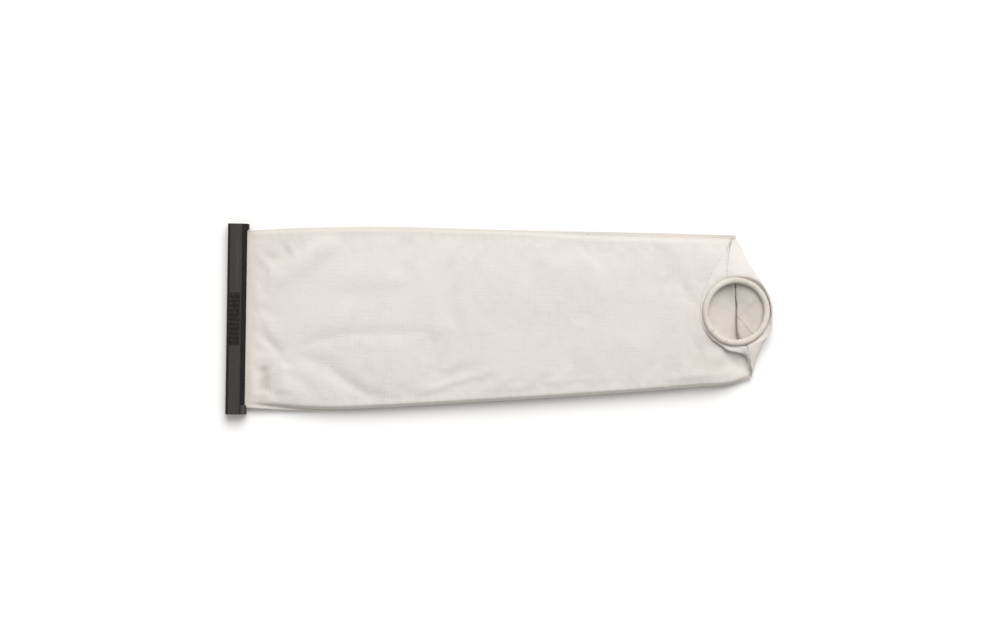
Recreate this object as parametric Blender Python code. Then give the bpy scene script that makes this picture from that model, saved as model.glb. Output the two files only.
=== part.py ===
"""Cotton dust bag with a slide-clip end and a beaded elastic mouth, lying flat.

+X runs along the bag from the clip to the mouth, +Y along the clip towards its closed end, +Z up.
The origin is under the middle of the bag, on the surface it lies on. Sizes are in millimetres
up to the moment a mesh or a curve is made, and in metres from there on.
"""

import math

import bmesh
import bpy
from mathutils import Vector

MM = 0.001

# Overall plan size.
HALF_LENGTH = 199.2
CLIP_HALF = 69.45

# Gap left between neighbours that touch in the real bag.
GAP = 0.3

# Cloth and thread.
CLOTH = 0.9
THROAT_CLOTH = 0.8
FLANGE_WIDTH = 3.0
FLANGE_Z = 3.2
LAYER_STEP = CLOTH + GAP
CREST = 13.5
THREAD = 0.25

# Slide clip: a C-section channel open towards +X, high enough for both rails and both cloths.
CLIP_X = -HALF_LENGTH
CLIP_WIDTH = 14.0
CLIP_WALL = 1.4
CLIP_BACK = 1.6
LIP = 2.0
RAIL_THICKNESS = 2.45
CLIP_HEIGHT = 2 * (CLIP_WALL + RAIL_THICKNESS + CLOTH + 2 * GAP) + GAP
SLOT_CLOTH_Z = CLIP_WALL + RAIL_THICKNESS + 2 * GAP + CLOTH / 2
SLOT_CLEARANCE = 0.45
SLOT_Z = (
    SLOT_CLOTH_Z - CLOTH / 2 - SLOT_CLEARANCE,
    SLOT_CLOTH_Z + LAYER_STEP + CLOTH / 2 + SLOT_CLEARANCE,
)
END_WALL = 1.4
SLOT_END = CLIP_HALF - 4.45
SHOULDER = 2.8
RIB_COUNT = 11
RIB_PITCH = 3.34
GROOVE = 1.7
GROOVE_DEPTH = 0.5

# Closing rails inside the channel, with a knob each at the open end.
RAIL_LEFT = CLIP_BACK + GAP + 0.1
RAIL_RIGHT = CLIP_WIDTH - LIP - GAP
RAIL_ENDS = (2.0 - CLIP_HALF, CLIP_HALF - END_WALL - GAP)
RAIL_GROOVE = (6.0, 7.2)
RAIL_GROOVE_DEPTH = 0.8
KNOB_LENGTH = 6.8
KNOB_ENDS = (0.15 - CLIP_HALF, 0.15 - CLIP_HALF + KNOB_LENGTH)
KNOB_X = (RAIL_RIGHT - 0.4, CLIP_WIDTH + 1.1)
KNOB_RISE = 1.1
NOTCH_END = KNOB_ENDS[1] + GAP

# Cloth edge held between the rails.
HELD_X = CLIP_X + CLIP_BACK + 1.0
HELD_HALF = SLOT_END - 2 * GAP
BODY_X = CLIP_X + CLIP_WIDTH + 1.2

# Collar: an elastic ring in a rolled hem, tipped a little about Y.
RING_RADIUS = 22.7
RING_CENTRE = (HALF_LENGTH - 1.242 * RING_RADIUS, 11.0, 15.0)
RING_TIP = math.radians(8.0)
HEM_OUTER = 2.0
HEM_INNER = 1.4
CORE = HEM_INNER - GAP - 0.1
HEM_SLOT_HALF = math.radians(24.0)
NEAR_SEAM = math.radians(-73.0)
FAR_SEAM = math.radians(106.0)

# Long edges of the cloth: share of the way from the clip to the mouth end, and of CLIP_HALF.
SLOT_SHARE = HELD_HALF / CLIP_HALF
FAR_EDGE = ((0.0, SLOT_SHARE), (0.105, 0.963), (0.266, 0.986), (0.514, 0.976), (0.819, 0.969), (1.0, 0.956))
NEAR_EDGE = (
    (0.0, -SLOT_SHARE),
    (0.106, -0.947),
    (0.223, -0.927),
    (0.402, -0.86),
    (0.598, -0.782),
    (0.796, -0.695),
    (0.897, -0.642),
    (0.954, -0.616),
    (1.0, -0.524),
)
FAR_END_X = RING_CENTRE[0] - 0.044 * RING_RADIUS
NEAR_END_X = RING_CENTRE[0] + 0.573 * RING_RADIUS
END_HOLLOW = 23.0


def clear_scene():
    for item in list(bpy.data.objects):
        bpy.data.objects.remove(item, do_unlink=True)


def material(name, colour, roughness, metallic=0.0):
    made = bpy.data.materials.new(name)
    made.use_nodes = True
    shader = made.node_tree.nodes["Principled BSDF"]
    shader.inputs["Base Color"].default_value = (*colour, 1.0)
    shader.inputs["Roughness"].default_value = roughness
    shader.inputs["Metallic"].default_value = metallic
    made.diffuse_color = (*colour, 1.0)
    return made


def smooth(t):
    t = min(1.0, max(0.0, t))
    return t * t * (3.0 - 2.0 * t)


def mix(a, b, t):
    return a + (b - a) * t


def along(table, t):
    """A smooth curve through rows of (key, values...), read at t."""
    last = len(table) - 1
    k = 0
    while k < last - 1 and t > table[k + 1][0]:
        k += 1
    first, second = table[k], table[k + 1]
    before = table[max(k - 1, 0)]
    after = table[min(k + 2, last)]
    span = second[0] - first[0]
    f = min(1.0, max(0.0, (t - first[0]) / span))
    values = []
    for i in range(1, len(first)):
        rise_in = (second[i] - before[i]) / max(second[0] - before[0], 1e-9) * span
        rise_out = (after[i] - first[i]) / max(after[0] - first[0], 1e-9) * span
        a = 2 * f**3 - 3 * f**2 + 1
        b = f**3 - 2 * f**2 + f
        c = -2 * f**3 + 3 * f**2
        d = f**3 - f**2
        values.append(a * first[i] + b * rise_in + c * second[i] + d * rise_out)
    return values[0] if len(values) == 1 else values


def add_mesh(name, points, faces, look, round_edges=True, pivot=(0.0, 0.0, 0.0)):
    """An object from points in millimetres, with its origin at pivot."""
    origin = Vector(pivot)
    mesh = bpy.data.meshes.new(name)
    mesh.from_pydata([(Vector(p) - origin) * MM for p in points], [], faces)
    work = bmesh.new()
    work.from_mesh(mesh)
    bmesh.ops.recalc_face_normals(work, faces=work.faces)
    work.to_mesh(mesh)
    work.free()
    if round_edges:
        mesh.shade_smooth()
        mesh.set_sharp_from_angle(angle=math.radians(40))
    mesh.materials.append(look)
    made = bpy.data.objects.new(name, mesh)
    made.location = origin * MM
    bpy.context.scene.collection.objects.link(made)
    return made


def prism(name, outline, start, end, look, pivot=(0.0, 0.0, 0.0)):
    """An outline of (x, z) points, counted from the clip's back face, drawn along Y."""
    count = len(outline)
    points = [(CLIP_X + x, y, z) for y in (start, end) for x, z in outline]
    faces = [tuple(range(count)), tuple(reversed(range(count, 2 * count)))]
    for i in range(count):
        k = (i + 1) % count
        faces.append((i, k, count + k, count + i))
    return add_mesh(name, points, faces, look, round_edges=False, pivot=pivot)


def box_outline(x0, x1, z0, z1):
    return [(x0, z0), (x1, z0), (x1, z1), (x0, z1)]


def boolean(target, tool, operation):
    tool.hide_render = True
    tool.display_type = "WIRE"
    step = target.modifiers.new(tool.name, "BOOLEAN")
    step.operation = operation
    step.object = tool
    step.solver = "EXACT"


def shell(name, rows, thickness, look):
    """A closed sheet of cloth around a grid of middle-surface points."""
    tall, wide = len(rows), len(rows[0])
    grid = [[Vector(p) for p in row] for row in rows]
    points = []
    for side in (0.5, -0.5):
        for i in range(tall):
            for j in range(wide):
                down = grid[min(i + 1, tall - 1)][j] - grid[max(i - 1, 0)][j]
                across = grid[i][min(j + 1, wide - 1)] - grid[i][max(j - 1, 0)]
                points.append(grid[i][j] + down.cross(across).normalized() * thickness * side)
    back = tall * wide
    faces = []
    for i in range(tall - 1):
        for j in range(wide - 1):
            a = i * wide + j
            faces.append((a, a + 1, a + wide + 1, a + wide))
            faces.append((back + a, back + a + wide, back + a + wide + 1, back + a + 1))
    border = [j for j in range(wide)]
    border += [i * wide + wide - 1 for i in range(1, tall)]
    border += [(tall - 1) * wide + j for j in range(wide - 2, -1, -1)]
    border += [i * wide for i in range(tall - 2, 0, -1)]
    for a, b in zip(border, border[1:] + border[:1]):
        faces.append((a, b, back + b, back + a))
    return add_mesh(name, points, faces, look)


def thread(name, path, look, closed=False, pivot=(0.0, 0.0, 0.0)):
    """A line of stitching as one fine tube."""
    origin = Vector(pivot)
    curve = bpy.data.curves.new(name, "CURVE")
    curve.dimensions = "3D"
    curve.bevel_depth = THREAD * MM
    curve.bevel_resolution = 1
    curve.use_fill_caps = True
    line = curve.splines.new("POLY")
    line.points.add(len(path) - 1)
    for point, place in zip(line.points, path):
        point.co = (*((Vector(place) - origin) * MM), 1.0)
    line.use_cyclic_u = closed
    curve.materials.append(look)
    made = bpy.data.objects.new(name, curve)
    made.location = origin * MM
    bpy.context.scene.collection.objects.link(made)
    return made


# ---- Slide clip ----


def make_clip(plastic):
    middle = (CLIP_X + CLIP_WIDTH / 2, 0.0, CLIP_HEIGHT / 2)
    outline = [
        (0.0, 0.8),
        (0.8, 0.0),
        (CLIP_WIDTH - 0.6, 0.0),
        (CLIP_WIDTH, 0.6),
        (CLIP_WIDTH, CLIP_HEIGHT - SHOULDER),
        (CLIP_WIDTH - 3.0, CLIP_HEIGHT),
        (2.0, CLIP_HEIGHT),
        (0.5, CLIP_HEIGHT - 0.7),
        (0.0, CLIP_HEIGHT - 2.0),
    ]
    clip = prism("slider", outline, -CLIP_HALF, CLIP_HALF, plastic, pivot=middle)

    inner = box_outline(CLIP_BACK, CLIP_WIDTH - LIP, CLIP_WALL, CLIP_HEIGHT - CLIP_WALL)
    channel = prism("channel_cut", inner, -CLIP_HALF - 5, CLIP_HALF - END_WALL, plastic)
    boolean(clip, channel, "DIFFERENCE")

    opening = box_outline(CLIP_WIDTH - LIP - 1, CLIP_WIDTH + 2, *SLOT_Z)
    slot = prism("slot_cut", opening, -CLIP_HALF - 5, SLOT_END, plastic)
    boolean(clip, slot, "DIFFERENCE")

    corner = box_outline(KNOB_X[0] - GAP, CLIP_WIDTH + 2, -2, CLIP_HEIGHT + 2)
    notch = prism("notch_cut", corner, -CLIP_HALF - 5, NOTCH_END, plastic)
    boolean(clip, notch, "DIFFERENCE")

    bridge = box_outline(CLIP_WIDTH - 1, CLIP_WIDTH + 1.2, SLOT_Z[0] - 1.6, SLOT_Z[1] + 0.6)
    web = prism("slot_web", bridge, SLOT_END + 0.2, CLIP_HALF - 0.2, plastic)
    boolean(clip, web, "UNION")

    first = -RIB_PITCH * RIB_COUNT / 2
    for i in range(RIB_COUNT + 1):
        y = first + RIB_PITCH * i
        cross = box_outline(1.4, 9.6, CLIP_HEIGHT - GROOVE_DEPTH, CLIP_HEIGHT + 2)
        groove = prism(f"groove_cut_{i + 1}", cross, y - GROOVE / 2, y + GROOVE / 2, plastic)
        boolean(clip, groove, "DIFFERENCE")
    return clip


def make_rail(name, inner_z, outward, plastic, yarn):
    """A strip with a stitching groove on its outer face and a knob at its -Y end."""
    outer_z = inner_z + outward * RAIL_THICKNESS
    floor_z = outer_z - outward * RAIL_GROOVE_DEPTH
    left, right = RAIL_LEFT, RAIL_RIGHT
    g0, g1 = RAIL_GROOVE
    outline = [
        (left, inner_z),
        (right, inner_z),
        (right, outer_z - outward * 0.5),
        (right - 0.5, outer_z),
        (g1, outer_z),
        (g1, floor_z),
        (g0, floor_z),
        (g0, outer_z),
        (left + 0.5, outer_z),
        (left, outer_z - outward * 0.5),
    ]
    rail = prism(name, outline, *RAIL_ENDS, plastic)
    top_z = outer_z + outward * KNOB_RISE
    knob_outline = [
        (KNOB_X[0], inner_z),
        (KNOB_X[1] - 0.6, inner_z),
        (KNOB_X[1], inner_z + outward * 0.8),
        (KNOB_X[1], top_z - outward * 1.2),
        (KNOB_X[1] - 1.0, top_z),
        (KNOB_X[0], top_z),
    ]
    knob = prism(name + "_knob", knob_outline, *KNOB_ENDS, plastic)
    boolean(rail, knob, "UNION")
    x = CLIP_X + (g0 + g1) / 2
    z = floor_z + outward * (0.2 + THREAD)
    thread(name + "_thread", [(x, RAIL_ENDS[0] + 1.5, z), (x, RAIL_ENDS[1] - 1.5, z)], yarn)


# ---- Bag panels ----

# How far the upper panel stands above its side flanges, from the clip to the mouth end.
RISE = (
    (0.0, 0.0),
    (0.05, 4.0),
    (0.12, 8.5),
    (0.23, 12.0),
    (0.5, CREST),
    (0.78, 12.0),
    (0.9, 8.6),
    (0.955, 6.0),
    (1.0, 4.6),
)

# Grid lines of a panel, closer together where it leaves the clip and where it ends.
COLUMNS = (0.0, 0.012, 0.03, 0.06, 0.1, 0.16, 0.24, 0.34, 0.44)
COLUMNS += (0.54, 0.64, 0.73, 0.81, 0.87, 0.92, 0.96, 0.985, 1.0)
MIDDLE_ROWS = 6
EDGE_STEPS = (0.0, 1.5, FLANGE_WIDTH, 5.5, 9.5, 15.0)


def edge_points(u):
    near = Vector((mix(BODY_X, NEAR_END_X, u), along(NEAR_EDGE, u) * CLIP_HALF, 0.0))
    far = Vector((mix(BODY_X, FAR_END_X, u), along(FAR_EDGE, u) * CLIP_HALF, 0.0))
    return near, far


def flange_z(u):
    """Height of the lower layer at the side seams."""
    return mix(SLOT_CLOTH_Z, FLANGE_Z, smooth(u / 0.08))


def panel_point(u, v, upper):
    """Middle surface of a panel, u from clip to mouth end, v from the near to the far edge."""
    near, far = edge_points(u)
    width = (far - near).length
    place = near.lerp(far, v)
    place.x -= END_HOLLOW * max(v, 0.0) ** 0.6 * max(1.0 - v, 0.0) ** 1.4 * smooth((u - 0.8) / 0.2)
    inside = min(v, 1.0 - v) * width - FLANGE_WIDTH
    flange = flange_z(u)
    if upper:
        w = min(1.0, max(0.0, inside / (width / 2 - FLANGE_WIDTH)))
        place.z = flange + LAYER_STEP + along(RISE, u) * (1.0 - (1.0 - w) ** 2.6)
    else:
        resting = CLOTH / 2 + (SLOT_CLOTH_Z - CLOTH / 2) * (1.0 - smooth(u / 0.06))
        place.z = mix(flange, resting, smooth(inside / 12.0))
    return place


def panel_rows(upper):
    slot_z = SLOT_CLOTH_Z + (LAYER_STEP if upper else 0.0)
    rows = []
    for u in COLUMNS:
        near, far = edge_points(u)
        width = (far - near).length
        steps = [d / width for d in EDGE_STEPS]
        inner = steps[-1]
        middle = [mix(inner, 1.0 - inner, k / (MIDDLE_ROWS + 1)) for k in range(1, MIDDLE_ROWS + 1)]
        across = steps + middle + [1.0 - s for s in reversed(steps)]
        rows.append([panel_point(u, v, upper) for v in across])
    spread = [p.y / rows[0][-1].y * HELD_HALF for p in rows[0]]
    held = [[(x, y, slot_z) for y in spread] for x in (HELD_X, HELD_X + 6.0, BODY_X - 1.8)]
    return held + rows


def seam_path(far):
    """Side stitching on the flange, a thread's clearance above the upper layer."""
    path = []
    for k in range(41):
        u = 0.012 + 0.968 * k / 40
        near_end, far_end = edge_points(u)
        inset = 2.0 / (far_end - near_end).length
        place = panel_point(u, 1.0 - inset if far else inset, True)
        place.z += CLOTH / 2 + GAP + THREAD
        path.append(place)
    return path


# ---- Throat and collar ----


def ring_frame(angle):
    """Outward direction, middle of the bead and ring normal at an angle round the collar."""
    along_x = Vector((math.cos(RING_TIP), 0.0, -math.sin(RING_TIP)))
    normal = Vector((math.sin(RING_TIP), 0.0, math.cos(RING_TIP)))
    outward = along_x * math.cos(angle) + Vector((0.0, 1.0, 0.0)) * math.sin(angle)
    return outward, Vector(RING_CENTRE) + outward * RING_RADIUS, normal


def hem_mouth(angle):
    """Direction, seen in the bead's section, in which the cloth leaves the hem."""
    return math.radians(-75.0 + 40.0 * math.cos(angle))


def on_bead(angle, turn, radius):
    outward, middle, normal = ring_frame(angle)
    return middle + outward * radius * math.cos(turn) + normal * radius * math.sin(turn)


def swept(name, section, steps, look, pivot):
    """A closed sweep round the collar of a section given as (turn, radius) pairs."""
    points = []
    for i in range(steps):
        angle = 2 * math.pi * i / steps
        points += [on_bead(angle, turn, radius) for turn, radius in section(angle)]
    wide = len(points) // steps
    faces = []
    for i in range(steps):
        for j in range(wide):
            a, b = i * wide, ((i + 1) % steps) * wide
            k = (j + 1) % wide
            faces.append((a + j, a + k, b + k, b + j))
    return add_mesh(name, points, faces, look, pivot=pivot)


def hem_section(angle):
    start = hem_mouth(angle) + HEM_SLOT_HALF
    sweep = 2 * math.pi - 2 * HEM_SLOT_HALF
    outer = [(start + sweep * k / 11, HEM_OUTER) for k in range(12)]
    inner = [(start + sweep * k / 8, HEM_INNER) for k in range(8, -1, -1)]
    return outer + inner


def core_section(angle):
    return [(2 * math.pi * k / 8, CORE) for k in range(8)]


# Lines of the throat, by share of the way from the near to the far seam: how each sets out from
# its panel's end (x, y and z from there), and the point it turns towards before the collar (x from
# the ring's centre in ring radii, y as a share of the way from there to the bag's corner, and z).
UPPER_AWAY = (
    (0.0, 0.2, 2.4, 3.4),
    (0.12, 3.0, 0.4, 1.2),
    (0.3, 5.0, 0.0, 1.2),
    (0.7, 5.0, 0.0, 1.2),
    (0.88, 3.4, -0.4, 1.4),
    (1.0, 1.8, -3.0, 4.0),
)
UPPER_TURN = (
    (0.0, 0.419, -0.738, 11.4),
    (0.15, 0.000, -0.707, 12.4),
    (0.35, -0.683, -0.443, 13.8),
    (0.5, -0.617, -0.105, 14.6),
    (0.7, -0.881, 0.271, 14.4),
    (0.86, -0.837, 0.596, 14.4),
    (1.0, -0.352, 0.722, 14.8),
)
LOWER_AWAY = (
    (0.0, 0.2, 2.4, 4.6),
    (0.06, 6.0, 0.0, 0.8),
    (0.12, 14.0, 0.0, 0.0),
    (0.28, 24.0, 0.0, 0.0),
    (0.45, 31.0, 0.0, 0.0),
    (0.6, 29.0, 0.0, 0.0),
    (0.75, 20.0, 0.0, 0.0),
    (0.88, 11.0, 0.0, 0.2),
    (0.95, 5.0, -0.8, 1.6),
    (1.0, 1.8, -3.0, 5.2),
)
LOWER_TURN = (
    (0.0, 0.419, -0.738, 11.4),
    (0.06, 0.749, -0.781, 7.6),
    (0.12, 0.991, -0.781, 5.6),
    (0.28, 1.286, -0.464, 4.6),
    (0.45, 1.344, -0.169, 4.2),
    (0.6, 1.233, 0.09, 4.4),
    (0.75, 0.947, 0.415, 5.4),
    (0.88, 0.529, 0.668, 8.6),
    (0.95, 0.110, 0.722, 13.6),
    (1.0, -0.352, 0.722, 14.8),
)


def turn_point(table, s):
    x, share, z = along(table, s)
    corner = FAR_EDGE[-1][1] if share > 0 else NEAR_EDGE[-1][1]
    reach = abs(corner * CLIP_HALF - RING_CENTRE[1])
    return Vector((RING_CENTRE[0] + x * RING_RADIUS, RING_CENTRE[1] + share * reach, z))


def throat_point(s, t, upper):
    """Middle surface of a throat piece, s from the near to the far seam, t from bag to collar."""
    start = panel_point(1.0, s, upper) + Vector((GAP + 0.55, 0.0, 0.0))
    if not upper:
        start.z = max(start.z, THROAT_CLOTH / 2 + 0.3)
    away = start + Vector(along(UPPER_AWAY if upper else LOWER_AWAY, s))
    turn = turn_point(UPPER_TURN if upper else LOWER_TURN, s)
    apart = math.radians(1.8)
    if upper:
        angle = mix(NEAR_SEAM + 2 * math.pi - apart, FAR_SEAM + apart, s)
    else:
        angle = mix(NEAR_SEAM + apart, FAR_SEAM - apart, s)
    end = on_bead(angle, hem_mouth(angle), HEM_OUTER + GAP + 0.3)
    a, b = (1.0 - t) ** 3, 3 * t * (1.0 - t) ** 2
    c, d = 3 * t * t * (1.0 - t), t**3
    place = start * a + away * b + turn * c + end * d
    at_seam = (1.0 - math.sin(math.pi * s)) ** 2
    place.x += (-0.7 if upper else 1.2) * at_seam * min(1.0, 6 * t, 6 * (1 - t))
    place.z += (0.4 if upper else -0.4) * at_seam * (1.0 - t)
    return place


def throat_rows(upper):
    shares = (0.0, 0.04, 0.09, 0.15, 0.22, 0.3, 0.38, 0.46, 0.54, 0.62, 0.7, 0.78, 0.85, 0.91, 0.96, 1.0)
    return [[throat_point(s, t / 10, upper) for t in range(11)] for s in shares]


def shoulder_path(s):
    path = []
    for k in range(13):
        t = 0.06 + 0.86 * k / 12
        left = throat_point(s, t, True)
        right = throat_point(s, t, False)
        place = left.lerp(right, 0.5)
        place.z = max(left.z, right.z) + THROAT_CLOTH / 2 + GAP + THREAD
        path.append(place)
    return path


clear_scene()

canvas = material("canvas", (0.72, 0.68, 0.62), 0.9)
hem_cloth = material("hem_cloth", (0.77, 0.72, 0.64), 0.88)
satin_black = material("satin_black_plastic", (0.055, 0.05, 0.047), 0.42)
rail_black = material("rail_black_plastic", (0.03, 0.028, 0.027), 0.35)
elastic = material("elastic", (0.6, 0.57, 0.5), 0.7)
cotton_thread = material("cotton_thread", (0.78, 0.74, 0.66), 0.85)

make_clip(satin_black)
make_rail("upper_rail", SLOT_CLOTH_Z + LAYER_STEP + CLOTH / 2 + GAP, 1, rail_black, cotton_thread)
make_rail("lower_rail", SLOT_CLOTH_Z - CLOTH / 2 - GAP, -1, rail_black, cotton_thread)

shell("upper_panel", panel_rows(True), CLOTH, canvas)
shell("lower_panel", panel_rows(False), CLOTH, canvas)
thread("far_side_thread", seam_path(True), cotton_thread)
thread("near_side_thread", seam_path(False), cotton_thread)

shell("throat_upper", throat_rows(True), THROAT_CLOTH, canvas)
shell("throat_lower", throat_rows(False), THROAT_CLOTH, canvas)
thread("far_shoulder_thread", shoulder_path(1.0), cotton_thread)
thread("near_shoulder_thread", shoulder_path(0.0), cotton_thread)

# The collar tips about a line along Y through the bead at the mouth end.
hinge = ring_frame(0.0)[1]
swept("collar_hem", hem_section, 56, hem_cloth, hinge)
swept("ring_core", core_section, 56, elastic, hinge)
hem_line = [
    on_bead(2 * math.pi * k / 64, math.radians(-165.0), HEM_OUTER + GAP + THREAD) for k in range(64)
]
thread("hem_thread", hem_line, cotton_thread, closed=True, pivot=hinge)
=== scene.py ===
"""Looks of a cotton dust bag: canvas, seams, slide clip, throat and beaded mouth.

+X runs along the bag from the clip to the mouth, +Y along the clip towards its closed end, +Z up.
Sizes are in millimetres up to the moment a mesh is made, and in metres from there on.
"""

import math

import bpy
import numpy as np
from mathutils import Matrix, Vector


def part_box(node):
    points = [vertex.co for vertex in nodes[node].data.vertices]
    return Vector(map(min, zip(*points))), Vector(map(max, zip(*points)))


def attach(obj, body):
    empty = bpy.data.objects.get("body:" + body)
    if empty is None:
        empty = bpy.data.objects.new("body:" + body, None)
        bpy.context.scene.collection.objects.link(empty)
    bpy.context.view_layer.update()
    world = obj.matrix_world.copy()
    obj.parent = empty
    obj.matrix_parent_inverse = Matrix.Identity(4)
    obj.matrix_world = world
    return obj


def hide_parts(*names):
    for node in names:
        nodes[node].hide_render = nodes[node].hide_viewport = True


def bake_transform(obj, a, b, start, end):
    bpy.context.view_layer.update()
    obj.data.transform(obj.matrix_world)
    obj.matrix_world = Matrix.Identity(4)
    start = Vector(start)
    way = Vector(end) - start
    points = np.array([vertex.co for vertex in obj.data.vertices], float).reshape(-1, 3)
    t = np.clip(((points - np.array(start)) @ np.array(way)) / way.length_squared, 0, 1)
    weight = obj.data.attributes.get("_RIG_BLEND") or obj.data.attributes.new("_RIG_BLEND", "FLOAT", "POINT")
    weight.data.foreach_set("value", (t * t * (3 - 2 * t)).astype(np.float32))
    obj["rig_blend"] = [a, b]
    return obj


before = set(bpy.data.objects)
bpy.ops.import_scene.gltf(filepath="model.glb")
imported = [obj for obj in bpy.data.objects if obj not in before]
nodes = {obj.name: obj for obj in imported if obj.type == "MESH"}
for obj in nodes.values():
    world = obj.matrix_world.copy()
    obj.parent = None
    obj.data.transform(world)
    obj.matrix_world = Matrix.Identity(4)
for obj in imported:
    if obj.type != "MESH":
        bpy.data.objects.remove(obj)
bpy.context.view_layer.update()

MM = 0.001

# ---- Places taken from the frame ----


def box_mm(node):
    low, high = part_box(node)
    return np.array(low) / MM, np.array(high) / MM


CLIP_LOW, CLIP_HIGH = box_mm("slider")
CLIP_X = CLIP_LOW[0]
CLIP_HALF = CLIP_HIGH[1]
CLIP_TOP = CLIP_HIGH[2]
RING_LOW, RING_HIGH = box_mm("ring_core")

CLOTH = 0.9
THROAT_CLOTH = 0.8
GAP = 0.3
FLANGE = 3.0
FLANGE_Z = 3.2
LAYER_STEP = CLOTH + GAP
HELD_X = CLIP_X + 2.6
BODY_X = CLIP_X + 15.2
SLOT_CLOTH_Z = 4.9
SLOT_SHARE = 64.4 / 69.45

RING_RADIUS = 22.7
RING_Z = 15.0
RING_CENTRE = np.array(((RING_LOW[0] + RING_HIGH[0]) / 2, (RING_LOW[1] + RING_HIGH[1]) / 2, RING_Z))
RING_TIP = math.radians(8.0)
BEAD = 2.2
BEAD_INSIDE = 1.4
# Half of the gap in the casing round the bead, where the throat cloth goes in.
HEM_OPEN = math.radians(22.0)
NEAR_SEAM = math.radians(-73.0)
FAR_SEAM = math.radians(106.0)
SEAM_GAP = math.radians(0.1)
HEM_JOIN = math.radians(219.5)

FAR_EDGE = ((0.0, SLOT_SHARE), (0.105, 0.963), (0.266, 0.986), (0.514, 0.976), (0.819, 0.969), (1.0, 0.956))
NEAR_EDGE = (
    (0.0, -SLOT_SHARE),
    (0.106, -0.947),
    (0.223, -0.927),
    (0.402, -0.86),
    (0.598, -0.782),
    (0.796, -0.695),
    (0.897, -0.642),
    (0.954, -0.616),
    (1.0, -0.524),
)
# The lying cloth's usual width and length, which turn a share of it into a distance.
WIDTH = 125.0
LENGTH = 384.0
FAR_END_X = RING_CENTRE[0] - 0.044 * RING_RADIUS
NEAR_END_X = RING_CENTRE[0] + 0.573 * RING_RADIUS
# How far the cloth's end is drawn back towards the clip, from the near to the far corner.
END_HOLLOW = (
    (0.0, 0.0),
    (0.05, 0.2),
    (0.1, 0.9),
    (0.14, 2.4),
    (0.18, 5.2),
    (0.22, 7.4),
    (0.274, 8.5),
    (0.35, 8.1),
    (0.5, 6.2),
    (0.662, 4.6),
    (0.8, 2.3),
    (0.9, 1.0),
    (1.0, 0.0),
)


# ---- Small tools ----


def smooth(t):
    t = np.clip(t, 0.0, 1.0)
    return t * t * (3.0 - 2.0 * t)


def mix(a, b, t):
    return a + (b - a) * t


def along(table, t):
    """Smooth curves through rows of (key, values...), read at every t."""
    t = np.asarray(t, float)
    rows = np.array(table, float)
    keys, values = rows[:, 0], rows[:, 1:]
    last = len(keys) - 1
    k = np.clip(np.searchsorted(keys, t, side="left") - 1, 0, last - 1)
    before, after = np.maximum(k - 1, 0), np.minimum(k + 2, last)
    span = keys[k + 1] - keys[k]
    f = np.clip((t - keys[k]) / span, 0.0, 1.0)[..., None]
    rise_in = (values[k + 1] - values[before]) * (span / (keys[k + 1] - keys[before]))[..., None]
    rise_out = (values[after] - values[k]) * (span / (keys[after] - keys[k]))[..., None]
    read = (2 * f**3 - 3 * f**2 + 1) * values[k] + (f**3 - 2 * f**2 + f) * rise_in
    read += (3 * f**2 - 2 * f**3) * values[k + 1] + (f**3 - f**2) * rise_out
    return read[..., 0] if read.shape[-1] == 1 else read


def waves(x, y, pitch, seed):
    """Soft unevenness between about -1 and 1, with bumps about a pitch apart."""
    chance = np.random.default_rng(seed)
    total = np.zeros(np.broadcast(x, y).shape)
    for _ in range(9):
        turn, phase = chance.uniform(0, 2 * math.pi, 2)
        size = pitch * chance.uniform(0.7, 1.6)
        total += np.sin((x * math.cos(turn) + y * math.sin(turn)) * 2 * math.pi / size + phase)
    return total / 4.5


def to_line(x, y, line):
    """Distance from each place to a line of (x, y) points, which side it is on, and the share along it."""
    best = np.full(np.broadcast(x, y).shape, 1e9)
    side, share = np.zeros_like(best), np.zeros_like(best)
    spans = [math.dist(a, b) for a, b in zip(line, line[1:])]
    gone = 0.0
    for (ax, ay), (bx, by), span in zip(line, line[1:], spans):
        dx, dy = (bx - ax) / span, (by - ay) / span
        f = np.clip((x - ax) * dx + (y - ay) * dy, 0.0, span)
        apart = np.hypot(x - ax - f * dx, y - ay - f * dy)
        nearer = apart < best
        best = np.where(nearer, apart, best)
        side = np.where(nearer, (x - ax) * -dy + (y - ay) * dx, side)
        share = np.where(nearer, (gone + f) / sum(spans), share)
        gone += span
    return best, np.sign(side), share


def normals_of(grid):
    facing = np.cross(np.gradient(grid, axis=0), np.gradient(grid, axis=1))
    return facing / np.maximum(np.linalg.norm(facing, axis=-1, keepdims=True), 1e-9)


def softened(facing, passes=2):
    """Directions evened out over neighbouring points, so that cloth keeps its thickness in a sharp fold."""
    for _ in range(passes):
        for axis in (0, 1):
            ends = np.concatenate([facing.take([0], axis), facing, facing.take([-1], axis)], axis)
            count = facing.shape[axis]
            before, after = ends.take(range(count), axis), ends.take(range(2, count + 2), axis)
            facing = (before + 2.0 * facing + after) / 4.0
    return facing / np.maximum(np.linalg.norm(facing, axis=-1, keepdims=True), 1e-9)


def new_piece(name, points, faces, look, lie=None):
    """An object from points in millimetres. lie gives each point's place on the flat cloth."""
    mesh = bpy.data.meshes.new(name)
    mesh.from_pydata((np.asarray(points) * MM).tolist(), [], faces)
    mesh.validate()
    if lie is not None:
        written = mesh.attributes.new("cloth", "FLOAT_VECTOR", "POINT")
        written.data.foreach_set("vector", np.asarray(lie, np.float32).ravel())
    mesh.shade_smooth()
    mesh.materials.append(look)
    piece = bpy.data.objects.new(name, mesh)
    bpy.context.scene.collection.objects.link(piece)
    return piece


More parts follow.
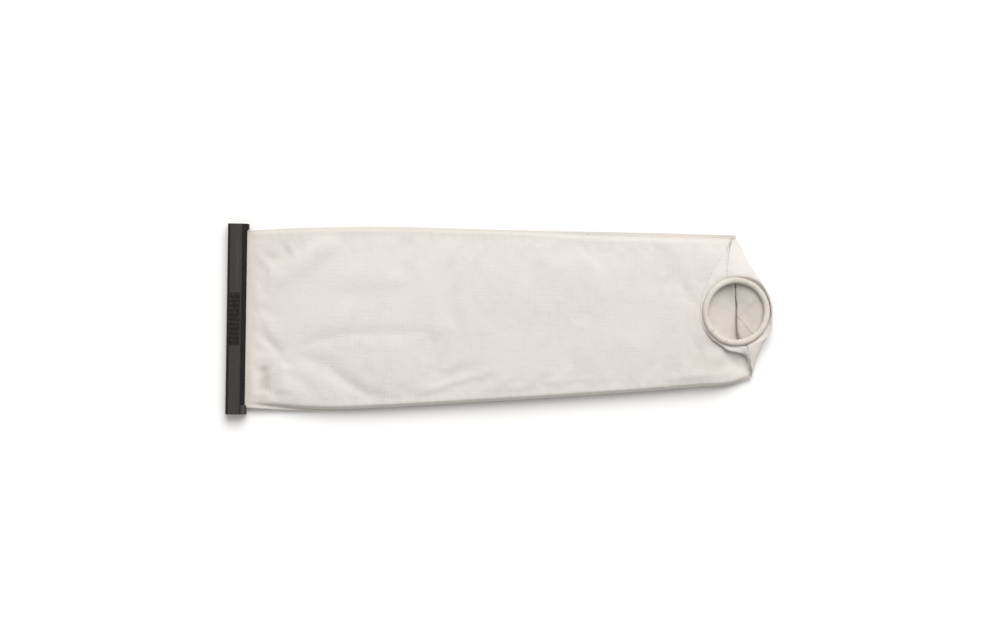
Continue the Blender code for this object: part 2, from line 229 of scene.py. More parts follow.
def cloth_piece(name, middle, thickness, look, lie):
    """A closed sheet of cloth round a grid of middle-surface points."""
    tall, wide = middle.shape[:2]
    facing = softened(normals_of(middle)) * thickness / 2
    points = np.concatenate([(middle + facing).reshape(-1, 3), (middle - facing).reshape(-1, 3)])
    back = tall * wide
    a = (np.arange(tall - 1)[:, None] * wide + np.arange(wide - 1)).ravel()
    top = np.stack([a, a + wide, a + wide + 1, a + 1], 1)
    bottom = top[:, ::-1] + back
    border = list(range(wide)) + [i * wide + wide - 1 for i in range(1, tall)]
    border += [(tall - 1) * wide + j for j in range(wide - 2, -1, -1)]
    border += [i * wide for i in range(tall - 2, 0, -1)]
    rim = [(a, b, back + b, back + a) for a, b in zip(border, border[1:] + border[:1])]
    faces = top.tolist() + bottom.tolist() + rim
    flat = lie.reshape(-1, 3)
    return new_piece(name, points, faces, look, np.concatenate([flat, flat + (3.1, 1.7, 0.0)]))


def flat_place(middle):
    """Place of each grid point on the flat cloth, from the lengths along the grid's lines."""
    down = np.linalg.norm(np.diff(middle, axis=0), axis=-1)
    across = np.linalg.norm(np.diff(middle, axis=1), axis=-1)
    first = np.concatenate([np.zeros((1, middle.shape[1])), np.cumsum(down, 0)])
    second = np.concatenate([np.zeros((middle.shape[0], 1)), np.cumsum(across, 1)], 1)
    return np.stack([first, second, np.zeros_like(first)], -1)


def area_of(grid):
    first = np.cross(grid[1:, :-1] - grid[:-1, :-1], grid[:-1, 1:] - grid[:-1, :-1])
    second = np.cross(grid[1:, :-1] - grid[1:, 1:], grid[:-1, 1:] - grid[1:, 1:])
    return (np.linalg.norm(first, axis=-1).sum() + np.linalg.norm(second, axis=-1).sum()) / 2 * MM * MM


def paint_soil_and_shade(piece, first, second):
    """How soiled, or painted with shade, each point of the first and of the second face of a sheet of cloth
    is.
    """
    written = piece.data.attributes.new("soil_and_shade", "FLOAT", "POINT")
    written.data.foreach_set("value", np.concatenate([first.ravel(), second.ravel()]).astype(np.float32))


def weigh(piece, weights):
    """How far each point goes along with the collar, in place of a straight run between two points."""
    written = piece.data.attributes["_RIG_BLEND"]
    written.data.foreach_set("value", np.asarray(weights, np.float32).ravel())


# ---- Finishes ----


class Wire:
    """A number in a finish, so that sums on it read as arithmetic."""

    def __init__(self, look, socket):
        self.look, self.socket = look, socket

    def work(self, operation, *values):
        return self.look.node("ShaderNodeMath", {"operation": operation}, dict(enumerate(values)))["Value"]

    def __add__(self, other):
        return self.work("ADD", self, other)

    def __sub__(self, other):
        return self.work("SUBTRACT", self, other)

    def __rsub__(self, other):
        return self.work("SUBTRACT", other, self)

    def __mul__(self, other):
        return self.work("MULTIPLY", self, other)

    def __abs__(self):
        return self.work("ABSOLUTE", self)

    __radd__ = __add__
    __rmul__ = __mul__

    def sine(self):
        return self.work("SINE", self)

    def or_more(self, other):
        return self.work("MAXIMUM", self, other)

    def between(self, low, high):
        """0 below low, 1 above high, and smooth between them; low may be the larger one."""
        if low > high:
            return 1 - self.between(high, low)
        sockets = {"Value": self, "From Min": low, "From Max": high}
        return self.look.node("ShaderNodeMapRange", {"interpolation_type": "SMOOTHSTEP"}, sockets)["Result"]


class Look:
    """The nodes of a material or world, and the few ways they are made."""

    def __init__(self, owner):
        owner.use_nodes = True
        self.owner, self.tree = owner, owner.node_tree
        self.tree.nodes.clear()

    def node(self, kind, settings=None, sockets=None):
        """Adds a node: its settings first, then its sockets' values or links. Gives its outputs by name."""
        made = self.tree.nodes.new(kind)
        for name, value in (settings or {}).items():
            setattr(made, name, value)
        for key, value in (sockets or {}).items():
            socket = made.inputs[key] if isinstance(key, int) else self.find(made.inputs, key)
            if isinstance(value, Wire):
                self.tree.links.new(value.socket, socket)
            else:
                socket.default_value = value
        return {socket.name: Wire(self, socket) for socket in made.outputs if socket.enabled}

    @staticmethod
    def find(sockets, name):
        return next(socket for socket in sockets if socket.enabled and socket.name == name)

    def colours(self, factor, first, second):
        sockets = {"Factor": factor, "A": full(first), "B": full(second)}
        return self.node("ShaderNodeMix", {"data_type": "RGBA"}, sockets)["Result"]

    def on_cloth(self):
        """The place on the flat cloth, in millimetres: as a vector, along the warp and along the weft."""
        flat = self.node("ShaderNodeAttribute", {"attribute_name": "cloth"})["Vector"]
        place = self.node("ShaderNodeSeparateXYZ", {}, {"Vector": flat})
        return flat, place["X"], place["Y"]

    def on_part(self):
        """The place on a hard part, in millimetres: as a vector, and its x, y and z."""
        own = self.node("ShaderNodeTexCoord")["Object"]
        mm = self.stretched(own, (1 / MM, 1 / MM, 1 / MM))
        place = self.node("ShaderNodeSeparateXYZ", {}, {"Vector": mm})
        return mm, place["X"], place["Y"], place["Z"]

    def stretched(self, vector, scale):
        sockets = {0: vector, 1: scale}
        return self.node("ShaderNodeVectorMath", {"operation": "MULTIPLY"}, sockets)["Vector"]

    def noise(self, vector, scale, detail=2.0, roughness=0.5):
        sockets = {"Vector": vector, "Scale": scale, "Detail": detail, "Roughness": roughness}
        return self.node("ShaderNodeTexNoise", {}, sockets)["Fac"]

    def scattered(self, vector, scale):
        """Scattered points: the distance to the nearest one, and chance numbers that belong to it."""
        sockets = {"Vector": vector, "Scale": scale, "Randomness": 1.0}
        cells = self.node("ShaderNodeTexVoronoi", {"feature": "F1"}, sockets)
        return cells["Distance"], self.node("ShaderNodeSeparateColor", {}, {"Color": cells["Color"]})

    def bump(self, height, strength=1.0, under=None):
        """A Bump node from a height in millimetres."""
        sockets = {"Height": height, "Strength": strength, "Distance": MM}
        if under is not None:
            sockets["Normal"] = under
        return self.node("ShaderNodeBump", {}, sockets)["Normal"]

    def shade(self, **sockets):
        """The Principled shader, from socket names written with underscores."""
        named = {name.replace("_", " "): full(value) for name, value in sockets.items()}
        shader = self.node("ShaderNodeBsdfPrincipled", {}, named)["BSDF"]
        self.node("ShaderNodeOutputMaterial", {}, {"Surface": shader})
        return self.owner


def full(value):
    return (*value, 1.0) if isinstance(value, tuple) and len(value) == 3 else value


def canvas_look(name, pale, shaded, pitch=0.62, weave_height=0.045):
    """Unbleached cotton canvas: plain weave, slubs, husk flecks, soft unevenness, and a soil colour that
    also lays on painted shade.
    """
    look = Look(bpy.data.materials.new(name))
    flat, x, y = look.on_cloth()
    wander = look.noise(flat, 0.22, 2.0) * 1.6
    warp = (x * (math.pi / pitch) + wander).sine()
    weft = (y * (math.pi / pitch) + wander * 0.8).sine()
    weave = warp * weft
    thread_gap = (abs(warp) * abs(weft)).between(0.0, 0.35)

    slub_x = look.noise(look.stretched(flat, (0.045, 1.15, 1.0)), 1.0, 2.0, 0.6)
    slub_y = look.noise(look.stretched(flat, (1.1, 0.05, 1.0)), 1.0, 2.0, 0.6)
    slubs = slub_x + slub_y
    broad = look.noise(flat, 0.016, 3.0, 0.55)
    patchy = look.noise(flat, 0.11, 3.0, 0.6)
    fuzz = look.noise(flat, 2.6, 3.0, 0.7)

    from_fleck, which = look.scattered(flat, 0.085)
    fleck = from_fleck.between(0.034, 0.018) * which["Red"].between(0.5, 0.54)
    from_speck, which_speck = look.scattered(flat, 0.21)
    speck = from_speck.between(0.055, 0.03) * which_speck["Green"].between(0.7, 0.74)

    tone = broad * 0.5 + patchy * 0.3 + slubs * 0.2
    base = look.colours(tone.between(0.33, 0.66), shaded, pale)
    deep = tuple(c * 0.8 for c in shaded)
    woven = look.colours((1 - thread_gap) * 0.2, base, deep)
    husk = look.colours(which["Green"], (0.19, 0.13, 0.075), (0.33, 0.25, 0.16))
    flecked = look.colours(fleck * 0.6, woven, husk)
    specked = look.colours(speck * 0.4, flecked, (0.4, 0.32, 0.23))
    # This soil colour also lays painted shade on the cloth: in folds, beside the ring and inside the mouth.
    soil_and_shade = look.node("ShaderNodeAttribute", {"attribute_name": "soil_and_shade"})["Fac"]
    soiled_and_shaded = look.colours(soil_and_shade * (0.35 + patchy * 0.6), specked, (0.47, 0.40, 0.33))

    height = weave * weave_height + (slubs - 1.0) * 0.22 + (fuzz - 0.5) * 0.07 + fleck * 0.12
    normal = look.bump(height, 0.75, look.bump(patchy * 0.5, 0.5))
    return look.shade(
        Base_Color=soiled_and_shaded,
        Roughness=0.86 + (fuzz - 0.5) * 0.12 + (1 - thread_gap) * 0.05,
        Normal=normal,
        Specular_IOR_Level=0.25,
        Sheen_Weight=0.12,
        Sheen_Roughness=0.55,
        Sheen_Tint=(1.0, 0.97, 0.93),
    )


def hem_look():
    """The finer cotton of the casing, drawn tight round the elastic."""
    look = Look(bpy.data.materials.new("casing cotton"))
    flat, x, y = look.on_cloth()
    pitch = 0.5
    warp = ((x + y * 0.55) * (math.pi / pitch)).sine()
    weft = ((y - x * 0.35) * (math.pi / pitch)).sine()
    thread_gap = (abs(warp) * abs(weft)).between(0.0, 0.35)
    pulled = look.noise(look.stretched(flat, (0.55, 0.16, 1.0)), 1.0, 3.0, 0.55)
    broad = look.noise(flat, 0.06, 3.0, 0.6)
    fuzz = look.noise(flat, 3.0, 3.0, 0.7)
    base = look.colours(broad.between(0.3, 0.7), (0.73, 0.68, 0.605), (0.81, 0.765, 0.70))
    # Painted shade in the valleys of the gathers, where the pulled bump is low.
    crease_shaded = look.colours(pulled.between(0.46, 0.3) * 0.35, base, (0.5, 0.42, 0.33))
    woven = look.colours((1 - thread_gap) * 0.35, crease_shaded, (0.5, 0.43, 0.35))
    height = warp * weft * 0.05 + pulled * 0.35 + (fuzz - 0.5) * 0.06
    return look.shade(
        Base_Color=woven,
        Roughness=0.84 + (fuzz - 0.5) * 0.12,
        Normal=look.bump(height, 0.8),
        Specular_IOR_Level=0.28,
        Sheen_Weight=0.12,
        Sheen_Roughness=0.5,
        Sheen_Tint=(1.0, 0.96, 0.9),
    )


def thread_look():
    """Plied cotton sewing thread."""
    look = Look(bpy.data.materials.new("sewing thread"))
    flat, x, y = look.on_cloth()
    ply = (x * 11.0 + y * 2.0).sine()
    fibre = look.noise(look.stretched(flat, (1.5, 6.0, 1.0)), 1.0, 3.0, 0.7)
    base = look.colours(fibre, (0.74, 0.70, 0.64), (0.84, 0.80, 0.74))
    groove = look.colours(ply.between(-0.2, -0.9) * 0.3, base, (0.45, 0.38, 0.3))
    return look.shade(
        Base_Color=groove,
        Roughness=0.72 + fibre * 0.15,
        Normal=look.bump(ply * 0.06 + fibre * 0.05, 0.8),
        Specular_IOR_Level=0.3,
        Sheen_Weight=0.1,
    )


def slider_look():
    """Satin black moulded plastic, rubbed along its edges and dusty in its grooves, with a painted
    reflection on its top face and a painted highlight streak along it.
    """
    look = Look(bpy.data.materials.new("satin black plastic"))
    mm, x, y, z = look.on_part()
    grain = look.noise(mm, 3.2, 3.0, 0.65)
    drawn = look.noise(look.stretched(mm, (1.4, 0.03, 1.4)), 1.0, 4.0, 0.6)
    broad = look.noise(mm, 0.05, 3.0, 0.6)
    scratch = look.noise(look.stretched(mm, (2.6, 0.08, 2.6)), 1.0, 2.0, 0.5).between(0.64, 0.7)

    top = z.between(CLIP_TOP - 0.5, CLIP_TOP - 0.2)
    # Painted reflection: the top face is made lighter than the black sides, and the grip patch is kept dark.
    face = top * x.between(CLIP_X + 1.9, CLIP_X + 2.4) * x.between(CLIP_X + 10.6, CLIP_X + 10.0)
    rims = abs(x - (CLIP_X + 2.0)).between(0.55, 0.0) + abs(x - (CLIP_X + 10.3)).between(0.4, 0.0)
    rubbed = rims * z.between(CLIP_TOP - 0.9, CLIP_TOP - 0.1) * drawn.between(0.42, 0.62)
    # Painted highlight: a lighter streak along the top face.
    highlight_streak = abs(x - (CLIP_X + 7.4)).between(1.3, 0.1) * y.between(16.0, 34.0)
    highlight_streak = highlight_streak * y.between(66.0, 50.0) * face
    patch = y.between(-19.4, -19.0) * y.between(19.4, 19.0) * x.between(CLIP_X + 1.2, CLIP_X + 1.6)
    patch = patch * x.between(CLIP_X + 9.8, CLIP_X + 9.4) * z.between(CLIP_TOP - 0.9, CLIP_TOP - 0.6)
    groove = patch * z.between(CLIP_TOP - 0.15, CLIP_TOP - 0.4)

    base = look.colours(broad * 0.6 + drawn * 0.4, (0.004, 0.0038, 0.0035), (0.010, 0.009, 0.0082))
    painted_top_reflection = look.colours(face * (0.7 + drawn * 0.3), base, (0.044, 0.038, 0.034))
    gripped = look.colours(patch * 0.95, painted_top_reflection, (0.0035, 0.0032, 0.003))
    lit = look.colours(highlight_streak * 0.4, gripped, (0.075, 0.068, 0.062))
    worn = look.colours(rubbed * 0.22, lit, (0.09, 0.082, 0.075))
    scratched = look.colours(scratch * 0.35, worn, (0.1, 0.092, 0.085))
    lint = look.noise(mm, 1.3, 3.0, 0.7)
    dusty = look.colours(groove * lint.between(0.45, 0.75) * 0.4, scratched, (0.22, 0.2, 0.175))
    return look.shade(
        Base_Color=dusty,
        Roughness=0.42 + (drawn - 0.5) * 0.22 + patch * 0.2 + rubbed * 0.08 + scratch * 0.1,
        Normal=look.bump(grain * 0.05 + drawn * 0.12 - scratch * 0.03, 0.6),
        Specular_IOR_Level=0.2,
    )


def rail_look():
    """Glossier black plastic of the closing strips and their knobs."""
    look = Look(bpy.data.materials.new("glossy black plastic"))
    mm = look.on_part()[0]
    flow = look.noise(look.stretched(mm, (0.7, 0.12, 0.7)), 1.0, 3.0, 0.6)
    grain = look.noise(mm, 4.0, 2.0, 0.6)
    scuff = look.noise(mm, 0.9, 4.0, 0.7).between(0.6, 0.72)
    base = look.colours(flow, (0.012, 0.011, 0.0105), (0.028, 0.025, 0.023))
    return look.shade(
        Base_Color=look.colours(scuff * 0.4, base, (0.07, 0.064, 0.058)),
        Roughness=0.26 + flow * 0.12 + scuff * 0.2,
        Normal=look.bump(grain * 0.03 + flow * 0.1, 0.6),
        Specular_IOR_Level=0.5,
        Coat_Weight=scuff * 0.1 + 0.1,
    )


def elastic_look():
    """Braided elastic of the ring inside the casing."""
    look = Look(bpy.data.materials.new("braided elastic"))
    mm, x, y, _ = look.on_part()
    rib = ((x + y) * 4.5).sine() * ((x - y) * 4.5).sine()
    soft = look.noise(mm, 0.8, 3.0, 0.6)
    base = look.colours(soft, (0.5, 0.46, 0.38), (0.68, 0.63, 0.54))
    return look.shade(
        Base_Color=look.colours(rib.between(0.1, -0.6) * 0.4, base, (0.3, 0.26, 0.2)),
        Roughness=0.68 + soft * 0.12,
        Normal=look.bump(rib * 0.12 + soft * 0.05, 0.7),
        Sheen_Weight=0.1,
    )


# ---- Bag cloth ----

# How far the upper cloth stands above its side flanges, from the clip to the mouth end.
RISE = (
    (0.0, 0.0),
    (0.05, 4.2),
    (0.12, 7.8),
    (0.23, 10.0),
    (0.5, 11.2),
    (0.8, 11.2),
    (0.9, 11.3),
    (0.925, 10.4),
    (0.95, 7.6),
    (0.98, 3.2),
    (1.0, 0.3),
)

# The upper cloth rolls up from its flange: over how far, how sharply, and how much of its rise that makes.
ROLL = 1.2
ROLL_SHARPNESS = 1.7
WALL_SHARE = 0.74
# Away from the seams it keeps its rise for a little longer towards the mouth end.
HELD_UP = 0.02
# It sinks by this much within this reach of the ring's middle, but not below this height.
SINK = 5.5
SINK_REACH = 28.5
SINK_FLOOR = 2.2

# Folds of the upper cloth: its line, half width, height (below 0 for a valley) and how sharp it is.
FOLDS = (
    (((-176, 20), (-168, 26), (-145, 41), (-124, 56), (-112, 61)), 8.0, 1.36, 1.0),
    (((-170, 39), (-160, 47), (-152, 52)), 6.5, -1.2, 1.0),
    (((-133, 14), (-123, 15), (-100, 20), (-77, 23), (-50, 22)), 7.0, -0.48, 1.0),
    (((-120, 29), (-104, 31), (-85, 30), (-60, 27)), 8.0, 0.36, 1.0),
    (((-182, 6), (-168, 5), (-158, 2)), 5.0, -0.6, 1.0),
    (((-181, -6), (-173, -12), (-163, -21), (-154, -28)), 4.6, -1.36, 0.85),
    (((-157, -27), (-147, -20), (-137, -16), (-117, -11), (-90, -9), (-44, -8)), 5.5, -0.96, 0.8),
    (((-152, -6), (-117, -3), (-80, -2), (-30, -2)), 9.0, 0.28, 1.0),
    (((-157, -27), (-141, -28), (-125, -33), (-113, -44), (-96, -54), (-76, -53)), 6.0, -1.28, 0.9),
    (((-173, -33), (-172, -44), (-171, -56)), 4.6, -3.0, 0.9),
    (((-158, -30), (-158, -42), (-157, -56)), 6.0, 1.36, 1.0),
    (((-66, -53), (-45, -47), (-20, -39), (3, -33)), 3.6, 0.44, 0.7),
    (((-60, -44), (-40, -39), (-16, -31)), 5.5, -0.32, 1.0),
    (((30, 52), (46, 54), (62, 52), (85, 50)), 7.0, -0.4, 1.0),
    (((-8, 6), (14, 2), (34, 4)), 10.0, -0.28, 1.0),
    (((60, -8), (90, -14), (118, -12)), 12.0, 0.28, 1.0),
    (((96, 32), (118, 30), (138, 38)), 8.0, -0.36, 1.0),
    (((160, -17), (168, -22), (174, -29), (179, -36)), 4.8, -2.2, 0.9),
    (((140, -20), (152, -14), (160, -12)), 8.0, -0.72, 1.0),
    (((118, -40), (136, -36), (152, -36), (164, -33)), 7.0, 0.64, 1.0),
)

# Painted shade in folds and dents and beside the ring, laid on through the soil colour: x, y, how far each
# reaches along and across, and its strength.
SHADE_SPOTS = (
    (-171.5, -46.0, 4.0, 11.0, 0.8),
    (-150.0, -60.0, 24.0, 4.0, 0.35),
    (-182.5, -50.0, 3.0, 14.0, 0.3),
    (152.0, -26.0, 12.0, 10.0, 0.25),
    (168.0, -44.0, 9.0, 9.0, 0.4),
    (146.0, 4.0, 4.0, 22.0, 0.15),
)

# Visible width of the side flange: bare near the mouth on the far side and near the clip on the near side.
FAR_FLANGE = ((0.0, 1.0), (0.1, 0.5), (0.55, 0.5), (0.68, 2.4), (0.78, 3.0), (1.0, 3.0))
NEAR_FLANGE = ((0.0, 2.8), (0.06, 2.4), (0.13, 1.2), (0.2, 0.5), (1.0, 0.5))


def edge_points(u):
    near = np.stack([mix(BODY_X, NEAR_END_X, u), along(NEAR_EDGE, u) * CLIP_HALF], -1)
    far = np.stack([mix(BODY_X, FAR_END_X, u), along(FAR_EDGE, u) * CLIP_HALF], -1)
    return near, far


def flange_z(u):
    return mix(SLOT_CLOTH_Z, FLANGE_Z, smooth(u / 0.08))


def panel_place(u, v, upper, relief=True):
    """Middle surface of a panel, u from clip to mouth end, v from the near to the far edge."""
    u, v = np.broadcast_arrays(np.asarray(u, float), np.asarray(v, float))
    near, far = edge_points(u)
    width = np.linalg.norm(far - near, axis=-1)
    plan = near + (far - near) * v[..., None]
    x, y = plan[..., 0].copy(), plan[..., 1]
    x -= along(END_HOLLOW, v) * smooth((u - 0.8) / 0.2)
    far_side = v > 0.5
    shown = np.where(far_side, along(FAR_FLANGE, u), along(NEAR_FLANGE, u))
    inside = np.minimum(v, 1.0 - v) * width
    low = flange_z(u)
    if not upper:
        resting = CLOTH / 2 + (SLOT_CLOTH_Z - CLOTH / 2) * (1.0 - smooth(u / 0.06))
        z = mix(low, resting, smooth((inside - FLANGE) / 12.0))
        if relief:
            swells = 0.5 * np.maximum(waves(x, y, 60.0, 11), 0)
            z = z + swells * smooth((inside - 12) / 15) * smooth(u / 0.15)
        return np.stack([x, y, z], -1)
    w = np.clip((inside - shown) / (width / 2 - shown), 0.0, 1.0)
    rolled = 1.0 - np.exp(-((np.maximum(inside - shown, 0.0) / ROLL) ** ROLL_SHARPNESS))
    held_up = smooth((v - 0.12) / 0.08) * smooth((0.97 - v) / 0.1)
    rise = along(RISE, u * (1.0 - HELD_UP * held_up))
    z = low + LAYER_STEP + rise * (WALL_SHARE * rolled + (1.0 - WALL_SHARE) * (1.0 - (1.0 - w) ** 2.2))
    from_ring = np.hypot(x - RING_CENTRE[0], y - RING_CENTRE[1])
    sunk = z - SINK * smooth((SINK_REACH - from_ring) / 10.0) * smooth(inside / 10.0)
    z = np.where(z > SINK_FLOOR, np.maximum(sunk, SINK_FLOOR), z)
    if relief:
        open_cloth = smooth(u / 0.05) * smooth((inside - shown) / 9.0)
        z = z + panel_relief(x, y) * open_cloth * (1.0 - 0.6 * smooth((u - 0.93) / 0.07))
        puckers = np.sin(x * 2 * math.pi / 7.3 + 2.2 * waves(x, y, 40.0, 5))
        puckers = puckers * np.exp(-(((inside - shown - 2.5) / 3.0) ** 2))
        z = z + 0.16 * puckers * smooth(u / 0.04)
    return np.stack([x, y, z], -1)


def panel_relief(x, y):
    """Named folds and a soft overall unevenness, in millimetres."""
    total = 0.4 * waves(x, y, 75.0, 3) + 0.16 * waves(x, y, 28.0, 4)
    for line, reach, height, sharp in FOLDS:
        apart, _, share = to_line(x, y, line)
        fade = smooth(share / 0.25) * smooth((1.0 - share) / 0.25)
        total = total + height * fade * np.exp(-((apart / reach) ** (2.0 * sharp)))
    return total


def upsampled(coarse, rows, columns):
    """A coarse grid of values read on a finer one, smoothly."""
    first = along([(i, *line) for i, line in enumerate(coarse.reshape(len(coarse), -1))], rows)
    first = first.reshape(len(rows), *coarse.shape[1:])
    second = np.moveaxis(first, 1, 0)
    second = along([(i, *line) for i, line in enumerate(second.reshape(len(second), -1))], columns)
    return np.moveaxis(second.reshape(len(columns), len(rows), *coarse.shape[2:]), 0, 1)


def settle(grid, held, growth, most, frames=18):
    """Lets slightly too large cloth buckle. Gives how far each point of its grid moved, up to the most."""
    tall, wide = grid.shape[:2]
    a = (np.arange(tall - 1)[:, None] * wide + np.arange(wide - 1)).ravel()
    faces = np.stack([a, a + wide, a + wide + 1, a + 1], 1).tolist()
    piece = new_piece("settling_cloth", grid.reshape(-1, 3), faces, canvas)
    group = piece.vertex_groups.new(name="held")
    for share in np.unique(held):
        group.add(np.flatnonzero(held.ravel() == share).tolist(), float(share), "REPLACE")
    cloth = piece.modifiers.new("cloth", "CLOTH")
    for setting, value in (
        ("quality", 6),
        ("mass", 0.12),
        ("tension_stiffness", 18),
        ("compression_stiffness", 18),
        ("shear_stiffness", 6),
        ("bending_stiffness", 0.6),
        ("air_damping", 3.0),
        ("vertex_group_mass", "held"),
        ("shrink_min", -growth),
        ("shrink_max", -growth),
        ("use_pressure", True),
        ("uniform_pressure_force", 0.25),
    ):
        setattr(cloth.settings, setting, value)
    cloth.settings.effector_weights.gravity = 0.0
    cloth.collision_settings.use_collision = False
    scene = bpy.context.scene
    for number in range(1, frames + 1):
        scene.frame_set(number)
    shown = piece.evaluated_get(bpy.context.evaluated_depsgraph_get())
    moved = np.zeros(tall * wide * 3, np.float32)
    shown.data.vertices.foreach_get("co", moved)
    scene.frame_set(1)
    bpy.data.objects.remove(piece, do_unlink=True)
    shift = moved.reshape(tall, wide, 3).astype(float) / MM - grid
    reach = np.linalg.norm(shift, axis=-1, keepdims=True)
    return shift * np.minimum(1.0, most / np.maximum(reach, 1e-9))


def panel_grid():
    """Fine shares along and across a panel, closer together at the side seams."""
    u = np.concatenate([np.linspace(0.0, 0.06, 15)[:-1], np.linspace(0.06, 1.0, 216)])
    rim = np.array([0.0, 0.35, 0.6, 0.85, 1.1, 1.4, 1.7, 2.1, 2.6, 3.2, 4.0, 5.0, 6.3, 7.9]) / WIDTH
    v = np.concatenate([rim, np.linspace(9.6 / WIDTH, 1.0 - 9.6 / WIDTH, 62), 1.0 - rim[::-1]])
    return u, v


# The simulated cloth: its steps along and across, how much too large it is, how far it may move, and the
# share of that which is kept.
SETTLED_STEPS = (112, 40)
GROWTH = 0.007
MOST_SHIFT = 1.6
SHIFT_KEPT = 0.6
# Rows of cloth inside the clip's slot.
SLOT_ROWS = 8
# Share of the collar's tilt that the middle of the upper cloth's end takes up.
END_LIFT = 0.2


def settled_shift(u, v):
    """How far the upper cloth moves when it buckles with its rim and ends held, at fine shares u and v."""
    steps_u, steps_v = (np.linspace(0.0, 1.0, steps) for steps in SETTLED_STEPS)
    coarse = panel_place(steps_u[:, None], steps_v[None, :], True)
    from_rim = np.minimum(steps_v, 1.0 - steps_v)[None, :] * WIDTH
    from_clip, from_mouth = steps_u[:, None] * LENGTH, (1 - steps_u[:, None]) * LENGTH
    free = smooth((from_rim - 4.0) / 5.0) * smooth(from_clip / 10.0) * smooth(from_mouth / 10.0)
    shift = settle(coarse, np.where(free < 0.5, 1.0, 0.0), GROWTH, MOST_SHIFT)
    return SHIFT_KEPT * upsampled(shift, u * (SETTLED_STEPS[0] - 1.0), v * (SETTLED_STEPS[1] - 1.0))


def in_slot(first, upper):
    """The rows of cloth inside the clip's slot, ahead of the first row outside it."""
    rows = np.repeat(first[None], SLOT_ROWS, 0)
    rows[..., 0] = np.linspace(HELD_X, BODY_X - 1.0, SLOT_ROWS)[:, None]
    rows[..., 2] = SLOT_CLOTH_Z + (LAYER_STEP if upper else 0.0)
    return rows


def make_panel(name, upper):
    u, v = panel_grid()
    middle = panel_place(u[:, None], v[None, :], upper)
    if upper:
        middle = middle + settled_shift(u, v)
    middle = np.concatenate([in_slot(middle[0], upper), middle])
    lie = np.stack([middle[..., 0], middle[..., 1], np.zeros_like(middle[..., 0])], -1)
    climb = np.linalg.norm(np.diff(middle, axis=1), axis=-1)
    lie[:, 1:, 1] = lie[:, :1, 1] + np.cumsum(climb, 1)
    piece = cloth_piece(name, middle, CLOTH, canvas, lie)
    ends = np.concatenate([np.zeros(SLOT_ROWS), u])
    side = np.minimum(v, 1.0 - v)[None, :]
    # Darker near the clip, along the side seams, at the mouth end and along the far edge.
    soil_and_shade = 0.3 * np.exp(-ends[:, None] * LENGTH / 3.0) + 0.15 * np.exp(-side * WIDTH / 2.0)
    soil_and_shade = soil_and_shade + 0.15 * smooth((ends[:, None] - 0.96) / 0.04)
    soil_and_shade = soil_and_shade + 0.3 * np.exp(-((1.0 - v[None, :]) * WIDTH / 5.0) ** 2)
    # Painted shade spots in folds, dents and beside the ring, laid on as soil.
    for x, y, reach_x, reach_y, strength in SHADE_SPOTS if upper else ():
        away_x, away_y = (middle[..., 0] - x) / reach_x, (middle[..., 1] - y) / reach_y
        soil_and_shade = soil_and_shade + strength * np.exp(-(away_x**2) - away_y**2)
    paint_soil_and_shade(piece, soil_and_shade, soil_and_shade)
    lift = END_LIFT * smooth((ends[:, None] - 0.86) / 0.14) * smooth(side * 2 / 0.5)
    return piece, np.concatenate([lift.ravel()] * 2)


# ---- Stitches ----


def stitch_row(name, path, facing, length=2.5, gap=0.8, radius=0.27, seed=1):
    """Separate stitches along a path, each a small arch of thread that dips into the cloth at its ends."""
    chance = np.random.default_rng(seed)
    path, facing = np.asarray(path, float), np.asarray(facing, float)
    spans = np.linalg.norm(np.diff(path, axis=0), axis=1)
    gone = np.concatenate([[0.0], np.cumsum(spans)])
    count = max(1, int(gone[-1] / (length + gap)))
    rings, sides = 7, 8
    points, faces, lie = [], [], []
    for k in range(count):
        start = (k + 0.5) * gone[-1] / count - length / 2 + chance.normal(0, 0.08)
        share = np.linspace(0.0, 1.0, rings)
        at = np.clip(start + share * length, 0.0, gone[-1])
        middle = np.stack([np.interp(at, gone, path[:, i]) for i in range(3)], 1)
        up = np.stack([np.interp(at, gone, facing[:, i]) for i in range(3)], 1)
        up /= np.linalg.norm(up, axis=1, keepdims=True)
        ahead = np.gradient(middle, axis=0)
        ahead /= np.maximum(np.linalg.norm(ahead, axis=1, keepdims=True), 1e-9)
        side = np.cross(up, ahead)
        side /= np.maximum(np.linalg.norm(side, axis=1, keepdims=True), 1e-9)
        middle = middle + side * (chance.normal(0, 0.05) + (share - 0.5)[:, None] * chance.normal(0, 0.12))
        arch = 1.0 - (2 * share - 1.0) ** 4
        middle = middle + up * ((arch - 1.0) * 1.3 * radius)[:, None]
        swell = radius * (0.55 + 0.45 * arch)
        first = len(points)
        for i in range(rings):
            for j in range(sides):
                turn = 2 * math.pi * j / sides
                outward = side[i] * math.cos(turn) * 1.1 + up[i] * math.sin(turn)
                points.append(middle[i] + swell[i] * outward)
                lie.append((at[i], turn, k * 3.7))
        for i in range(rings - 1):
            for j in range(sides):
                a, b = first + i * sides + j, first + i * sides + (j + 1) % sides
                faces.append((a, b, b + sides, a + sides))
        faces.append(tuple(range(first + sides - 1, first - 1, -1)))
        last = first + (rings - 1) * sides
        faces.append(tuple(range(last, last + sides)))
    piece = new_piece(name, points, faces, sewing_thread, lie)
    return piece


